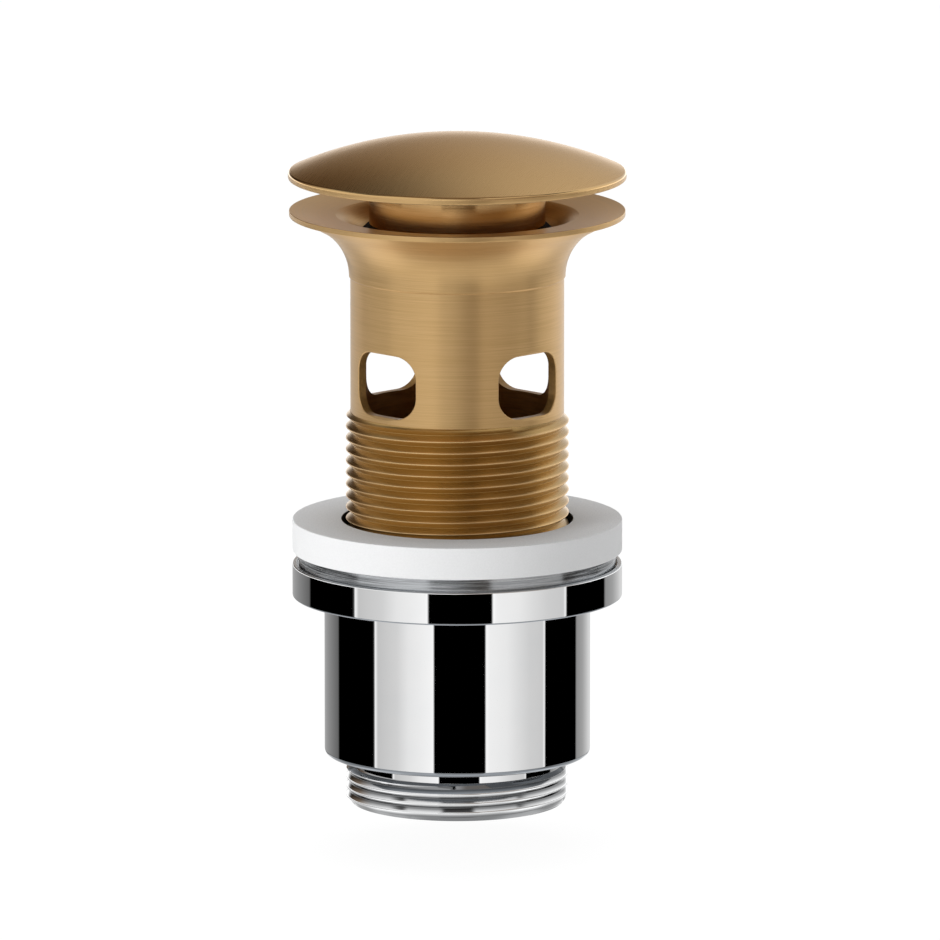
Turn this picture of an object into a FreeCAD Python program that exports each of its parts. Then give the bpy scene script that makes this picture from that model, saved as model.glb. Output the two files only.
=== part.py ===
import FreeCAD, Part

import math
import os

from FreeCAD import Vector

# Slotted push-to-open basin waste, shown with its cap popped up.
# Millimetres, +Z up. The origin is the centre of the outlet spigot's end face.

# Clearances
RUN_GAP = 0.3          # between pieces that move past each other
FIT_GAP = 0.05         # radial, shaft in its hole and thread in thread
EDGE_BREAK = 0.2       # small bevel on turned edges

# Pipe thread shared by the waste body, the tailpiece and the spigot
PIPE_THREAD_R = 20.955
THREAD_BEVEL = 1.2

# Tailpiece
SPIGOT_LENGTH = 9.3
SPIGOT_NECK_R = 19.6
SPIGOT_NECK_LENGTH = 1.5
OUTLET_R = 17.5
TAIL_R = 25.0
TAIL_HEIGHT = 30.2
TAIL_BEVEL = 0.8
TAIL_FLOOR = 2.9       # height of the inner shoulder above the spigot
TAIL_FLANGE_R = 31.0
TAIL_FLANGE_HEIGHT = 6.2
RECESS_DEPTH = 1.0

# Slip washer and basin washer
SLIP_R = 29.8
SLIP_BORE_R = 21.4
SLIP_THICKNESS = 3.1
WASHER_R = 31.0
WASHER_BORE_R = 21.7
WASHER_THICKNESS = 6.0
WASHER_BEVEL = 0.3

# Waste body, lengths measured down from the top of the flange
GRIP_LENGTH = 57.6     # from the basin washer up to the flange seat
BODY_LENGTH = 80.0
FLANGE_R = 31.5
FLANGE_EDGE = 1.1
SEAT_WIDTH = 2.5
BORE_R = 18.3
WALL = 1.75
NECK_WALL = 2.0
NECK_LENGTH = 12.5
NECK_FILLET = 10.4
NECK_TOP_R = 26.5
FLARE_R = 6.3
FLARE_SLOPE = math.radians(17)
DISH_R = 36.0
THREAD_START = 38.2
THREAD_RUN_IN = 0.9

# Overflow slots
SLOT_COUNT = 4
SLOT_WIDTH = 15.0
SLOT_HEIGHT = 11.9
SLOT_TOP = 25.1
SLOT_CORNER_R = 4.2

# Inner cross that carries the cartridge
CROSS_ARMS = 4
ARM_WIDTH = 3.0
HUB_HEIGHT = 7.0
HUB_R = 6.5

# Mushroom cap
CAP_R = 31.7
CAP_RISE = 6.6
CAP_RIM = 1.35
CAP_WALL = 1.8
CAP_RIM_LAND = 2.5
CAP_LIFT = 5.95        # open gap between the flange and the rim
BOSS_R = 16.5
BOSS_DEPTH = 8.95      # from the rim down to the foot of the boss
BOSS_WALL = 2.5
BOSS_BEVEL = 0.7
BOSS_HUB_R = 6.0
STUD_DEPTH = 7.0

# Seal stack under the boss
SEAL_THICKNESS = 1.6
RETAINER_R = 14.5
RETAINER_THICKNESS = 1.2
CAP_NUT_FLATS = 10.0
CAP_NUT_HEIGHT = 3.2

# Push-push cartridge
PRESS_TRAVEL = 5.7
LATCH_TRAVEL = 4.4
STEM_R = 3.0
COLLAR_R = 4.9
COLLAR_HEIGHT = 1.5
SPIGOT_PIN_R = 2.5
SPIGOT_PIN_LENGTH = 5.6
BARREL_R = 6.4
BARREL_BORE_R = 5.3
GLAND_FLATS = 12.0
GLAND_HEAD = 1.6
GLAND_SPIGOT = 1.7
GLAND_SEAL_WIRE_R = 0.55
SLEEVE_R = 5.0
BALL_R = 1.25
BALL_SEAT_R = 5.35     # distance of each ball's centre from the axis
BALL_COUNT = 2
TRACK_MARGIN = 1.2     # wall of the sleeve above and below the track
RETAINER_WALL = 0.75
RETAINER_HEIGHT = 4.0
THRUST_THICKNESS = 1.0
SPRING_LENGTH = 12.1
SPRING_R = 4.2
SPRING_WIRE_R = 0.4
SPRING_TURNS = 7
BASE_PLUG_HEIGHT = 3.0
MOUNT_STUD_R = 4.0
STUD_WASHER_R = 7.3
STUD_WASHER_THICKNESS = 1.2
STUD_NUT_FLATS = 12.8
STUD_NUT_HEIGHT = 5.0
STUD_END = 1.3

# The track's corners: turn of the sleeve in degrees and height of the ball, for one push and its return
TRACK_CORNERS = (
    (0, 0),
    (60, PRESS_TRAVEL),
    (90, LATCH_TRAVEL),
    (120, PRESS_TRAVEL),
    (180, 0),
)

# Heights that follow from the sizes above
TAIL_BOTTOM = SPIGOT_LENGTH
TAIL_SHOULDER = TAIL_BOTTOM + TAIL_FLOOR
TAIL_FLANGE_BOTTOM = TAIL_BOTTOM + TAIL_HEIGHT
TAIL_TOP = TAIL_FLANGE_BOTTOM + TAIL_FLANGE_HEIGHT
RECESS_FLOOR = TAIL_TOP - RECESS_DEPTH
SLIP_BOTTOM = RECESS_FLOOR + RUN_GAP
WASHER_BOTTOM = SLIP_BOTTOM + SLIP_THICKNESS
WASHER_TOP = WASHER_BOTTOM + WASHER_THICKNESS
FLANGE_SEAT = WASHER_TOP + GRIP_LENGTH
FLANGE_TOP = FLANGE_SEAT + FLANGE_EDGE
TUBE_R = BORE_R + WALL
SEAL_R = BORE_R - RUN_GAP
CAP_RIM_BOTTOM = FLANGE_TOP + CAP_LIFT
CAP_RIM_TOP = CAP_RIM_BOTTOM + CAP_RIM
DOME_R = (CAP_R ** 2 + CAP_RISE ** 2) / (2 * CAP_RISE)
DOME_CENTRE = CAP_RIM_TOP + CAP_RISE - DOME_R
BOSS_BOTTOM = CAP_RIM_BOTTOM - BOSS_DEPTH
SEAL_BOTTOM = BOSS_BOTTOM - SEAL_THICKNESS
RETAINER_BOTTOM = SEAL_BOTTOM - RETAINER_THICKNESS
CAP_NUT_BOTTOM = RETAINER_BOTTOM - CAP_NUT_HEIGHT
GLAND_TOP = CAP_NUT_BOTTOM - PRESS_TRAVEL - 2 * RUN_GAP
BARREL_TOP = GLAND_TOP - GLAND_HEAD
GLAND_BOTTOM = BARREL_TOP - GLAND_SPIGOT
COLLAR_TOP = GLAND_BOTTOM - RUN_GAP
COLLAR_BOTTOM = COLLAR_TOP - COLLAR_HEIGHT
SLEEVE_TOP = COLLAR_BOTTOM - RUN_GAP
TRACK_R = BALL_R + RUN_GAP
SLEEVE_LENGTH = PRESS_TRAVEL + 2 * (TRACK_R + TRACK_MARGIN)
SLEEVE_BOTTOM = SLEEVE_TOP - SLEEVE_LENGTH
BALL_HEIGHT = SLEEVE_BOTTOM + TRACK_MARGIN + TRACK_R
STEM_SHOULDER = SLEEVE_BOTTOM - RUN_GAP
THRUST_BOTTOM = STEM_SHOULDER - THRUST_THICKNESS
SPRING_SEAT = THRUST_BOTTOM - SPRING_LENGTH
BARREL_BOTTOM = SPRING_SEAT - BASE_PLUG_HEIGHT
HUB_BOTTOM = BARREL_BOTTOM - HUB_HEIGHT
STUD_WASHER_BOTTOM = HUB_BOTTOM - STUD_WASHER_THICKNESS
STUD_NUT_BOTTOM = STUD_WASHER_BOTTOM - STUD_NUT_HEIGHT
STUD_BOTTOM = STUD_NUT_BOTTOM - STUD_END

AXIS = Vector(0, 0, 1)
ORIGIN = Vector(0, 0, 0)


class Outline:
    """A closed half section of radius and height, turned about the Z axis."""

    def __init__(self, radius, height):
        self.first = Vector(radius, 0, height)
        self.last = self.first
        self.edges = []

    def line(self, radius, height):
        end = Vector(radius, 0, height)
        self.edges.append(Part.LineSegment(self.last, end).toShape())
        self.last = end
        return self

    def arc(self, middle, end):
        middle = Vector(middle[0], 0, middle[1])
        end = Vector(end[0], 0, end[1])
        self.edges.append(Part.Arc(self.last, middle, end).toShape())
        self.last = end
        return self

    def turned(self):
        self.line(self.first.x, self.first.z)
        return Part.Face(Part.Wire(self.edges)).revolve(ORIGIN, AXIS, 360)


def on_circle(centre, radius, angle):
    """A point of a circle in the half section, with its angle from the radius axis."""
    return (centre[0] + radius * math.cos(angle), centre[1] + radius * math.sin(angle))


def rod(radius, bottom, top):
    return Part.makeCylinder(radius, top - bottom, Vector(0, 0, bottom))


def ring(outer, inner, bottom, top, bevel=0.0):
    """A flat ring whose outer edges are bevelled."""
    outline = Outline(inner, bottom).line(outer - bevel, bottom)
    if bevel:
        outline.line(outer, bottom + bevel).line(outer, top - bevel)
    outline.line(outer - bevel, top).line(inner, top)
    return outline.turned()


def hexagon(flats, bottom, top):
    corner_r = flats / math.sqrt(3)
    corners = [Vector(*on_circle((0, 0), corner_r, math.radians(60 * i)), bottom) for i in range(7)]
    return Part.Face(Part.makePolygon(corners)).extrude(Vector(0, 0, top - bottom))


def nut(flats, bore, bottom, top):
    """A hexagon nut with its corners turned off at both ends."""
    corner_r = flats / math.sqrt(3)
    drop = (corner_r - flats / 2) / 2
    turned = Outline(bore, bottom).line(flats / 2, bottom).line(corner_r, bottom + drop)
    turned.line(corner_r, top - drop).line(flats / 2, top).line(bore, top)
    return hexagon(flats, bottom, top).common(turned.turned())


def wire_section(centre, radius):
    """The six-sided section that stands for a thin round wire or cord."""
    corners = [on_circle((centre.x, centre.z), radius, math.radians(60 * i)) for i in range(7)]
    return Part.makePolygon([Vector(x, 0, z) for x, z in corners])


def around(shape, count, first=0.0):
    """Copies of a shape, evenly spaced about the Z axis."""
    copies = []
    for i in range(count):
        copy = shape.copy()
        copy.rotate(ORIGIN, AXIS, first + 360.0 * i / count)
        copies.append(copy)
    return copies


def tailpiece():
    bore_r = PIPE_THREAD_R + FIT_GAP
    recess_r = SLIP_R + RUN_GAP
    thread_top = TAIL_BOTTOM - SPIGOT_NECK_LENGTH
    lead_in = PIPE_THREAD_R - SPIGOT_NECK_R
    outline = Outline(OUTLET_R, 0)
    outline.line(PIPE_THREAD_R - THREAD_BEVEL, 0).line(PIPE_THREAD_R, THREAD_BEVEL)
    outline.line(PIPE_THREAD_R, thread_top - lead_in).line(SPIGOT_NECK_R, thread_top)
    outline.line(SPIGOT_NECK_R, TAIL_BOTTOM)
    outline.line(TAIL_R - TAIL_BEVEL, TAIL_BOTTOM).line(TAIL_R, TAIL_BOTTOM + TAIL_BEVEL)
    outline.line(TAIL_R, TAIL_FLANGE_BOTTOM)
    outline.line(TAIL_FLANGE_R - EDGE_BREAK, TAIL_FLANGE_BOTTOM)
    outline.line(TAIL_FLANGE_R, TAIL_FLANGE_BOTTOM + EDGE_BREAK)
    outline.line(TAIL_FLANGE_R, TAIL_TOP - EDGE_BREAK).line(TAIL_FLANGE_R - EDGE_BREAK, TAIL_TOP)
    outline.line(recess_r, TAIL_TOP).line(recess_r, RECESS_FLOOR)
    outline.line(bore_r + TAIL_BEVEL, RECESS_FLOOR).line(bore_r, RECESS_FLOOR - TAIL_BEVEL)
    outline.line(bore_r, TAIL_SHOULDER)
    outline.line(OUTLET_R + TAIL_BEVEL, TAIL_SHOULDER).line(OUTLET_R, TAIL_SHOULDER - TAIL_BEVEL)
    return outline.turned()


def slip_washer():
    return ring(SLIP_R, SLIP_BORE_R, SLIP_BOTTOM, WASHER_BOTTOM, EDGE_BREAK)


def basin_washer():
    return ring(WASHER_R, WASHER_BORE_R, WASHER_BOTTOM, WASHER_TOP, WASHER_BEVEL)


def flare_top():
    """Where the throat's flare meets the dished flange, and the height where the bore begins."""
    radius = BORE_R + FLARE_R * (1 - math.sin(FLARE_SLOPE))
    dish_centre_r = radius + DISH_R * math.sin(FLARE_SLOPE)
    reach = dish_centre_r - FLANGE_R
    rise = math.sqrt(DISH_R ** 2 - reach ** 2) - DISH_R * math.cos(FLARE_SLOPE)
    height = FLANGE_TOP - rise
    return radius, height, height - FLARE_R * math.cos(FLARE_SLOPE)


def shell_of_waste_body():
    """Flange, flared throat, tube and the plain cylinder of the thread, as one turned wall."""
    tube_end = FLANGE_TOP - BODY_LENGTH
    thread_top = FLANGE_TOP - THREAD_START
    neck_bottom = FLANGE_TOP - NECK_LENGTH
    neck_r = BORE_R + NECK_WALL
    outline = Outline(BORE_R, tube_end).line(PIPE_THREAD_R - THREAD_BEVEL, tube_end)
    outline.line(PIPE_THREAD_R, tube_end + THREAD_BEVEL)
    outline.line(PIPE_THREAD_R, thread_top - THREAD_RUN_IN).line(TUBE_R, thread_top)
    outline.line(TUBE_R, neck_bottom - EDGE_BREAK).line(neck_r, neck_bottom)

    fillet_centre = (neck_r + NECK_FILLET, neck_bottom)
    fillet_end = math.acos((fillet_centre[0] - NECK_TOP_R) / NECK_FILLET)
    middle = on_circle(fillet_centre, NECK_FILLET, math.pi - fillet_end / 2)
    end = on_circle(fillet_centre, NECK_FILLET, math.pi - fillet_end)
    outline.arc(middle, end)

    outline.line(FLANGE_R - SEAT_WIDTH, FLANGE_SEAT).line(FLANGE_R - EDGE_BREAK, FLANGE_SEAT)
    outline.line(FLANGE_R, FLANGE_SEAT + EDGE_BREAK).line(FLANGE_R, FLANGE_TOP)

    flare_r, flare_height, bore_top = flare_top()
    dish_centre = (flare_r + DISH_R * math.sin(FLARE_SLOPE), flare_height - DISH_R * math.cos(FLARE_SLOPE))
    flare_centre = (BORE_R + FLARE_R, bore_top)
    flare_angle = math.pi / 2 + FLARE_SLOPE
    rim_angle = math.atan2(FLANGE_TOP - dish_centre[1], FLANGE_R - dish_centre[0])
    outline.arc(on_circle(dish_centre, DISH_R, (rim_angle + flare_angle) / 2), (flare_r, flare_height))
    outline.arc(on_circle(flare_centre, FLARE_R, (flare_angle + math.pi) / 2), (BORE_R, bore_top))
    return outline.turned()


def overflow_slot():
    """One rounded window, as the solid that is cut out of the tube on the +X side."""
    depth = 2 * WALL + THREAD_RUN_IN
    bottom = FLANGE_TOP - SLOT_TOP - SLOT_HEIGHT
    block = Part.makeBox(depth, SLOT_WIDTH, SLOT_HEIGHT, Vector(BORE_R - depth / 2, -SLOT_WIDTH / 2, bottom))
    corners = [edge for edge in block.Edges if edge.Vertexes[0].Y == edge.Vertexes[1].Y
               and edge.Vertexes[0].Z == edge.Vertexes[1].Z]
    return block.makeFillet(SLOT_CORNER_R, corners)


def inner_cross():
    """The hub with its arms, which end inside the tube's wall."""
    reach = BORE_R + WALL / 2
    arm = Part.makeBox(reach, ARM_WIDTH, HUB_HEIGHT, Vector(0, -ARM_WIDTH / 2, HUB_BOTTOM))
    hub = rod(HUB_R, HUB_BOTTOM, BARREL_BOTTOM)
    hole = rod(MOUNT_STUD_R + FIT_GAP, HUB_BOTTOM, BARREL_BOTTOM)
    return hub.fuse(around(arm, CROSS_ARMS)).cut(hole)


def waste_body():
    slots = around(overflow_slot(), SLOT_COUNT, 180.0 / SLOT_COUNT)
    return shell_of_waste_body().cut(slots).fuse(inner_cross()).removeSplitter()


def mushroom_cap():
    under_r = DOME_R - CAP_WALL
    land_r = CAP_R - CAP_RIM_LAND
    hub_pocket_top = CAP_RIM_BOTTOM

    def under_dome(radius):
        return (radius, DOME_CENTRE + math.sqrt(under_r ** 2 - radius ** 2))

    boss_inner = BOSS_R - BOSS_WALL
    stud_top = BOSS_BOTTOM + STUD_DEPTH
    thread_r = STEM_R + FIT_GAP
    outline = Outline(0, stud_top).line(thread_r, stud_top).line(thread_r, BOSS_BOTTOM)
    outline.line(BOSS_HUB_R, BOSS_BOTTOM).line(BOSS_HUB_R, hub_pocket_top)
    outline.line(boss_inner, hub_pocket_top).line(boss_inner, BOSS_BOTTOM)
    outline.line(BOSS_R - BOSS_BEVEL, BOSS_BOTTOM).line(BOSS_R, BOSS_BOTTOM + BOSS_BEVEL)
    outline.line(*under_dome(BOSS_R))
    outline.arc(under_dome((BOSS_R + land_r) / 2), under_dome(land_r))
    outline.line(land_r, CAP_RIM_BOTTOM).line(CAP_R - EDGE_BREAK, CAP_RIM_BOTTOM)
    outline.line(CAP_R, CAP_RIM_BOTTOM + EDGE_BREAK).line(CAP_R, CAP_RIM_TOP)
    halfway = (CAP_R / 2, DOME_CENTRE + math.sqrt(DOME_R ** 2 - (CAP_R / 2) ** 2))
    outline.arc(halfway, (0, CAP_RIM_TOP + CAP_RISE))
    return outline.turned()


def plug_seal():
    """Rubber disc whose edge thins to a lip."""
    bore_r = STEM_R + RUN_GAP
    lip = SEAL_THICKNESS / 2
    outline = Outline(bore_r, SEAL_BOTTOM).line(SEAL_R - lip, SEAL_BOTTOM)
    outline.line(SEAL_R, SEAL_BOTTOM + lip / 2).line(SEAL_R, SEAL_BOTTOM + lip)
    outline.line(SEAL_R - lip, BOSS_BOTTOM).line(bore_r, BOSS_BOTTOM)
    return outline.turned()


def seal_retainer():
    return ring(RETAINER_R, STEM_R + FIT_GAP, RETAINER_BOTTOM, SEAL_BOTTOM, EDGE_BREAK)


def cap_lock_nut():
    return nut(CAP_NUT_FLATS, STEM_R + FIT_GAP, CAP_NUT_BOTTOM, RETAINER_BOTTOM)


def plunger():
    top = BOSS_BOTTOM + STUD_DEPTH - RUN_GAP
    pin_end = STEM_SHOULDER - SPIGOT_PIN_LENGTH
    outline = Outline(0, pin_end).line(SPIGOT_PIN_R - EDGE_BREAK, pin_end)
    outline.line(SPIGOT_PIN_R, pin_end + EDGE_BREAK).line(SPIGOT_PIN_R, STEM_SHOULDER)
    outline.line(STEM_R, STEM_SHOULDER).line(STEM_R, COLLAR_BOTTOM)
    outline.line(COLLAR_R, COLLAR_BOTTOM).line(COLLAR_R, COLLAR_TOP).line(STEM_R, COLLAR_TOP)
    outline.line(STEM_R, top - 2 * EDGE_BREAK).line(STEM_R - 2 * EDGE_BREAK, top).line(0, top)
    return outline.turned()


def gland():
    """Hexagon head and screwed spigot, with a groove for the seal in its bore."""
    bore_r = STEM_R + FIT_GAP
    groove_r = bore_r + 2 * GLAND_SEAL_WIRE_R + FIT_GAP
    groove_half = GLAND_SEAL_WIRE_R + FIT_GAP
    middle = gland_seal_height()
    head = hexagon(GLAND_FLATS, BARREL_TOP, GLAND_TOP)
    screw = rod(BARREL_BORE_R - FIT_GAP, GLAND_BOTTOM, BARREL_TOP)
    groove = rod(groove_r, middle - groove_half, middle + groove_half)
    return head.fuse(screw).cut(rod(bore_r, GLAND_BOTTOM, GLAND_TOP)).cut(groove)


def gland_seal_height():
    return (GLAND_TOP + GLAND_BOTTOM) / 2


def gland_seal():
    """O-ring with a running gap to the stem."""
    ring_r = STEM_R + FIT_GAP + GLAND_SEAL_WIRE_R
    section = wire_section(Vector(ring_r, 0, gland_seal_height()), GLAND_SEAL_WIRE_R)
    return Part.Face(section).revolve(ORIGIN, AXIS, 360)


def balls(radius):
    ball = Part.makeSphere(radius, Vector(BALL_SEAT_R, 0, BALL_HEIGHT))
    return around(ball, BALL_COUNT)


def cartridge_barrel():
    hole_length = BARREL_R
    hole = Part.makeCylinder(BALL_R + FIT_GAP, hole_length, Vector(0, 0, BALL_HEIGHT), Vector(1, 0, 0))
    tube = ring(BARREL_R, BARREL_BORE_R, BARREL_BOTTOM, BARREL_TOP)
    hole.translate(Vector(BARREL_BORE_R / 2, 0, 0))
    return tube.cut(around(hole, BALL_COUNT))


def track_balls():
    return Part.makeCompound(balls(BALL_R))


def ball_retainer():
    """Ring round the barrel, dimpled inside where the balls touch it."""
    half = RETAINER_HEIGHT / 2
    inner = BARREL_R + FIT_GAP
    band = ring(inner + RETAINER_WALL, inner, BALL_HEIGHT - half, BALL_HEIGHT + half)
    return band.cut(balls(BALL_R + FIT_GAP))


def track_leg(turn_low, height_low, turn_high, height_high):
    """A round groove cutter that climbs from one corner of the track to the next, seen from the sleeve."""
    rise = height_high - height_low
    turn = turn_high - turn_low
    pitch = rise * 360.0 / abs(turn)
    path = Part.makeHelix(pitch, rise, BALL_SEAT_R, 0, turn > 0)
    slope = math.atan2(pitch, 2 * math.pi * BALL_SEAT_R)
    side = -1 if turn > 0 else 1
    heading = Vector(0, side * math.cos(slope), math.sin(slope))
    section = Part.Wire(Part.Circle(Vector(BALL_SEAT_R, 0, 0), heading, TRACK_R).toShape())
    leg = path.makePipeShell([section], True, True)
    leg.rotate(ORIGIN, AXIS, -turn_low)
    leg.translate(Vector(0, 0, BALL_HEIGHT + height_low))
    return leg


def ball_track():
    """The endless zigzag groove: out to the press depth, back to the latch, out again and back to open."""
    cutters = []
    for (turn_a, height_a), (turn_b, height_b) in zip(TRACK_CORNERS, TRACK_CORNERS[1:]):
        low, high = sorted(((height_a, turn_a), (height_b, turn_b)))
        cutters.append(track_leg(low[1], low[0], high[1], high[0]))
    for turn, height in TRACK_CORNERS[:-1]:
        corner = Part.makeSphere(TRACK_R, Vector(BALL_SEAT_R, 0, BALL_HEIGHT + height))
        corner.rotate(ORIGIN, AXIS, -turn)
        cutters.append(corner)
    return [copy for cutter in cutters for copy in around(cutter, BALL_COUNT)]


def track_sleeve():
    sleeve = ring(SLEEVE_R, STEM_R + FIT_GAP, SLEEVE_BOTTOM, SLEEVE_TOP)
    for cutter in ball_track():
        sleeve = sleeve.cut(cutter)
    return sleeve


def spring_washer():
    return ring(COLLAR_R, SPIGOT_PIN_R + FIT_GAP, THRUST_BOTTOM, STEM_SHOULDER)


def return_spring():
    rise = SPRING_LENGTH - 2 * (SPRING_WIRE_R + FIT_GAP)
    path = Part.makeLongHelix(rise / SPRING_TURNS, rise, SPRING_R)
    section = wire_section(Vector(SPRING_R, 0, 0), SPRING_WIRE_R)
    coil = path.makePipeShell([section], True, True)
    coil.translate(Vector(0, 0, SPRING_SEAT + SPRING_WIRE_R + FIT_GAP))
    return coil


def cartridge_base():
    plug = rod(BARREL_BORE_R - FIT_GAP, BARREL_BOTTOM, SPRING_SEAT)
    stud = Outline(0, STUD_BOTTOM).line(MOUNT_STUD_R - 2 * EDGE_BREAK, STUD_BOTTOM)
    stud.line(MOUNT_STUD_R, STUD_BOTTOM + 2 * EDGE_BREAK)
    stud.line(MOUNT_STUD_R, BARREL_BOTTOM).line(0, BARREL_BOTTOM)
    return plug.fuse(stud.turned())


def stud_washer():
    return ring(STUD_WASHER_R, MOUNT_STUD_R + FIT_GAP, STUD_WASHER_BOTTOM, HUB_BOTTOM, EDGE_BREAK)


def stud_nut():
    return nut(STUD_NUT_FLATS, MOUNT_STUD_R + FIT_GAP, STUD_NUT_BOTTOM, STUD_WASHER_BOTTOM)


PIECES = (
    mushroom_cap,
    plug_seal,
    seal_retainer,
    cap_lock_nut,
    plunger,
    gland,
    gland_seal,
    cartridge_barrel,
    track_sleeve,
    track_balls,
    ball_retainer,
    spring_washer,
    return_spring,
    cartridge_base,
    waste_body,
    stud_washer,
    stud_nut,
    basin_washer,
    slip_washer,
    tailpiece,
)

os.makedirs("parts", exist_ok=True)
for piece in PIECES:
    piece().exportStep("parts/" + piece.__name__ + ".step")
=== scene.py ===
import bmesh
import bpy
import math

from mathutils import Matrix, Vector


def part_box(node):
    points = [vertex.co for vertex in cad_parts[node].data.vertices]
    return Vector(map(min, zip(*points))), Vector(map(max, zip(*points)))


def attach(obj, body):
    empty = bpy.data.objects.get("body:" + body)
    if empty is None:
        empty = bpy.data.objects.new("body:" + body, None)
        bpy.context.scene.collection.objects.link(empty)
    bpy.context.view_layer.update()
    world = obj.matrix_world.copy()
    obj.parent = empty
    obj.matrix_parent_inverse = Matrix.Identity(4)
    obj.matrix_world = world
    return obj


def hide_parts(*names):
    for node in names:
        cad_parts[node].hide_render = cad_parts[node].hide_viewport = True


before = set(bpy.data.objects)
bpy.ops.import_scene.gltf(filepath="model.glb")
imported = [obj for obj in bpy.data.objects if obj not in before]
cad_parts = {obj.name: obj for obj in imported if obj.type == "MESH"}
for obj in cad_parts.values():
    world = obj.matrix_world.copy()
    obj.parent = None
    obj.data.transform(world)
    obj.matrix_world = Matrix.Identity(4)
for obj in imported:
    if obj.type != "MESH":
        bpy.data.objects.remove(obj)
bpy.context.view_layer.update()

# Dressed model of a slotted push-to-open basin waste, cap up.
# Metres, +Z up. Sizes are written in millimetres times MM.

MM = 0.001

# Heights and radii taken from the frame
BODY_LOW, BODY_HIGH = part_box("waste_body")
CAP_LOW, CAP_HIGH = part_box("mushroom_cap")
WASHER_LOW, WASHER_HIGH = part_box("basin_washer")
SLIP_LOW, SLIP_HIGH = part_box("slip_washer")
TAIL_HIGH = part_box("tailpiece")[1]
STUD_WASHER_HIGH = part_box("stud_washer")[1]
FLANGE_TOP = BODY_HIGH[2]
FLANGE_R = BODY_HIGH[0]
TUBE_END = BODY_LOW[2]
CAP_APEX = CAP_HIGH[2]
CAP_R = CAP_HIGH[0]
BOSS_BOTTOM = CAP_LOW[2]
TAIL_TOP = TAIL_HIGH[2]
TAIL_FLANGE_R = TAIL_HIGH[0]
HUB_BOTTOM = STUD_WASHER_HIGH[2]

# Threads over the crests of G 1 1/4, with the pitch and depth that the photograph shows.
# A flank is the angle between a thread's side and the radius.
THREAD_R = 20.955 * MM
THREAD_BEVEL = 1.2 * MM
THREAD_CORE_R = 19.2 * MM
THREAD_INNER_R = 18.6 * MM
CORE_INSET = 0.1 * MM
CREST_LAND = 0.05 * MM      # down to this below the crest a thread has its crest's colour
ROOT_ROUND = 0.06 * MM
PIPE_PITCH = 2.195 * MM
PIPE_FLANK = math.radians(40)
PIPE_CREST_ROUND = 0.15 * MM
SPIGOT_PITCH = 1.75 * MM
SPIGOT_FLANK = math.radians(56)
SPIGOT_CREST_ROUND = 0.28 * MM
SPIGOT_RUNOUT = 0.35        # height over depth of the bevel that ends the spigot's thread at its top

# Waste body, lengths measured down from the top of the flange
FLANGE_EDGE = 1.1 * MM
FLANGE_LOW_ROUND = 0.28 * MM
FLANGE_TOP_ROUND = 0.12 * MM
SEAT_WIDTH = 2.5 * MM
BORE_R = 18.3 * MM
TUBE_R = 20.05 * MM
NECK_R = 20.3 * MM
NECK_LENGTH = 12.5 * MM
NECK_STEP = 0.28 * MM
NECK_STEP_ROUND = 0.13 * MM
NECK_FILLET = 10.4 * MM
NECK_FILLET_START = 0.05    # radians past the upright, clear of the step's rounding
NECK_TOP_R = 26.5 * MM
FLARE_R = 6.3 * MM
RING_SLOPE = math.radians(5.8)
RING_INNER_R = 22.8 * MM
RING_INNER_ROUND = 1.0 * MM
THROAT_DEPTH = 9.0 * MM     # below this the inside has the bore's finish
THREAD_START = 38.2 * MM
THREAD_SEAM = 0.3 * MM      # how far the tube's wall reaches into the thread
SLOT_WIDTH = 15.0 * MM
SLOT_HEIGHT = 11.9 * MM
SLOT_TOP = 25.1 * MM
SLOT_CORNER_R = 4.2 * MM
SLOT_CORNER_STEPS = 10
SLOT_BEVEL = 0.15 * MM
SLOT_ANGLES = (45, 135, 225, 315)
CUTTER_INSIDE = 3.5 * MM     # how far a slot's cutter reaches past the wall's inner face
CUTTER_OUTSIDE = 0.5 * MM    # and past its outer face

# Inner cross
HUB_HEIGHT = 7.0 * MM
HUB_R = 6.5 * MM
HUB_HOLE_R = 4.05 * MM
ARM_COUNT = 4
ARM_WIDTH = 3.0 * MM
ARM_INTO_WALL = 0.3 * MM
CROSS_ROUND = 0.3 * MM

# Mushroom cap
CAP_RISE = 6.6 * MM
CAP_RIM = 1.35 * MM
CAP_RIM_LOW_ROUND = 0.4 * MM
CAP_RIM_TOP_ROUND = 0.55 * MM
CAP_WALL = 1.8 * MM
CAP_RIM_LAND = 2.5 * MM
CAP_INNER_ROUND = 0.3 * MM
DOME_START = 0.016          # radians up from the rim, clear of its rounding
DOME_STEP = math.radians(0.9)
BOSS_R = 16.5 * MM
BOSS_WALL = 2.5 * MM
BOSS_ROUND = 0.7 * MM
BOSS_HUB_R = 6.0 * MM
STUD_DEPTH = 7.0 * MM
STUD_R = 3.05 * MM
BRUSHING_ANGLE = 67.0       # degrees from the x axis to the grain on the dome

# Tailpiece
SPIGOT_LENGTH = 9.3 * MM
SPIGOT_NECK_R = 19.6 * MM
SPIGOT_NECK_LENGTH = 2.2 * MM
SPIGOT_NECK_ROUND = 0.3 * MM
OUTLET_R = 17.5 * MM
OUTLET_ROUND = 0.8 * MM
TAIL_R = 25.0 * MM
TAIL_LOW_ROUND = 0.9 * MM
TAIL_EDGE_ROUND = 0.25 * MM
TAIL_FLANGE_LOW_ROUND = 0.3 * MM
TAIL_FLOOR = 2.9 * MM
TAIL_FLANGE_HEIGHT = 6.2 * MM
RECESS_DEPTH = 1.0 * MM
RECESS_R = 30.1 * MM
TAIL_BORE_R = 21.005 * MM
TAIL_BORE_BEVEL = 0.8 * MM

# Washers
WASHER_BORE_R = 21.7 * MM
WASHER_ROUND = 0.22 * MM
SLIP_BORE_R = 21.4 * MM
SLIP_ROUND = 0.2 * MM

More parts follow.
